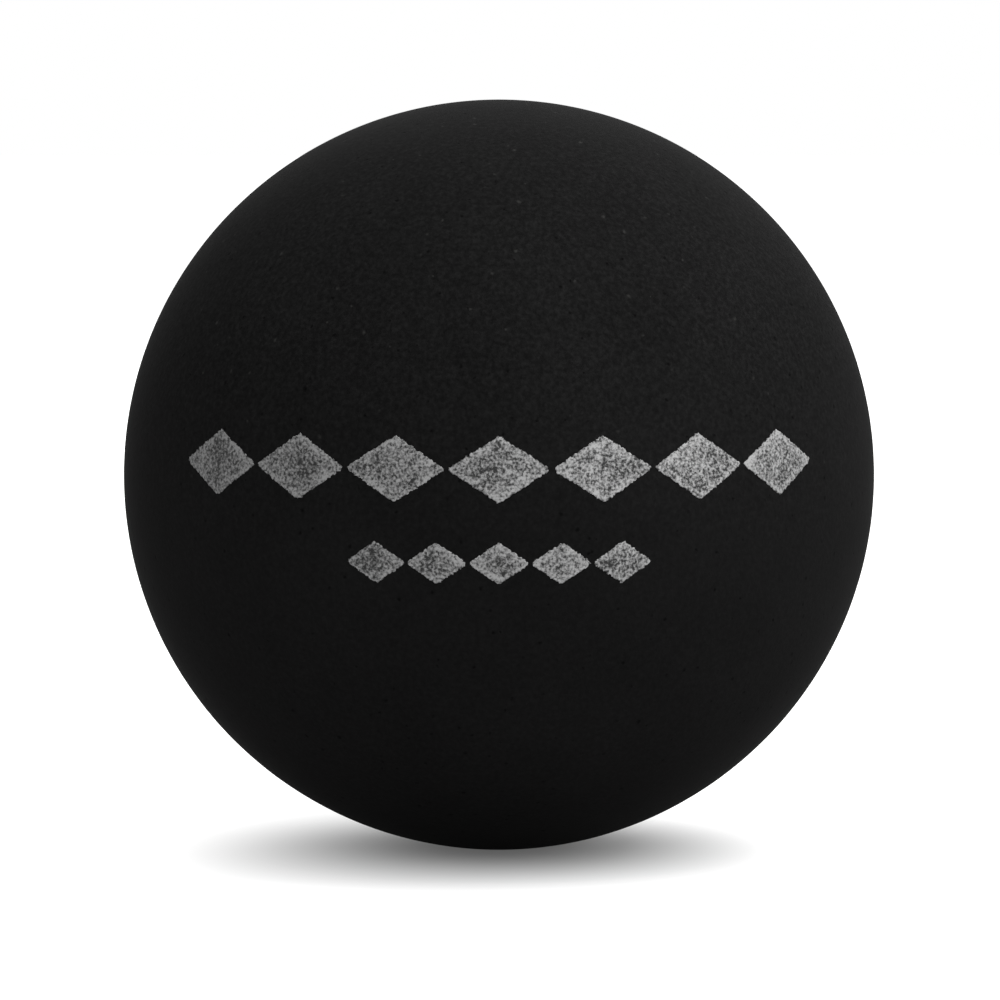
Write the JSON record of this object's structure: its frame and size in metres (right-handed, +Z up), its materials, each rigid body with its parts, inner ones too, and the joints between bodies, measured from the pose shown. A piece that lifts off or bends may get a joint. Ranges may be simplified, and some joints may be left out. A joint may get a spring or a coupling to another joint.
{
  "type": "squash ball",
  "caption": "Small hollow ball of matt black rubber, made of half shells bonded rim to rim at a seam, for hitting against court walls with a racket.",
  "frame": {"origin": "centre of the ball", "axes": "+Z up and -Y towards the viewer, as pictured; the seam lies in the XZ plane, so both half shells are turned about Y"},
  "size_m": [0.04, 0.04, 0.04],
  "materials": {
    "rubber_compound": "matt, buffed",
    "cured_rubber_solution": "matt, buffed",
    "print_ink": "matt"
  },
  "bodies": {
    "root": {"front_half_shell": "rubber_compound", "rear_half_shell": "rubber_compound", "seam_bond": "cured_rubber_solution"}
  },
  "joints": []
}
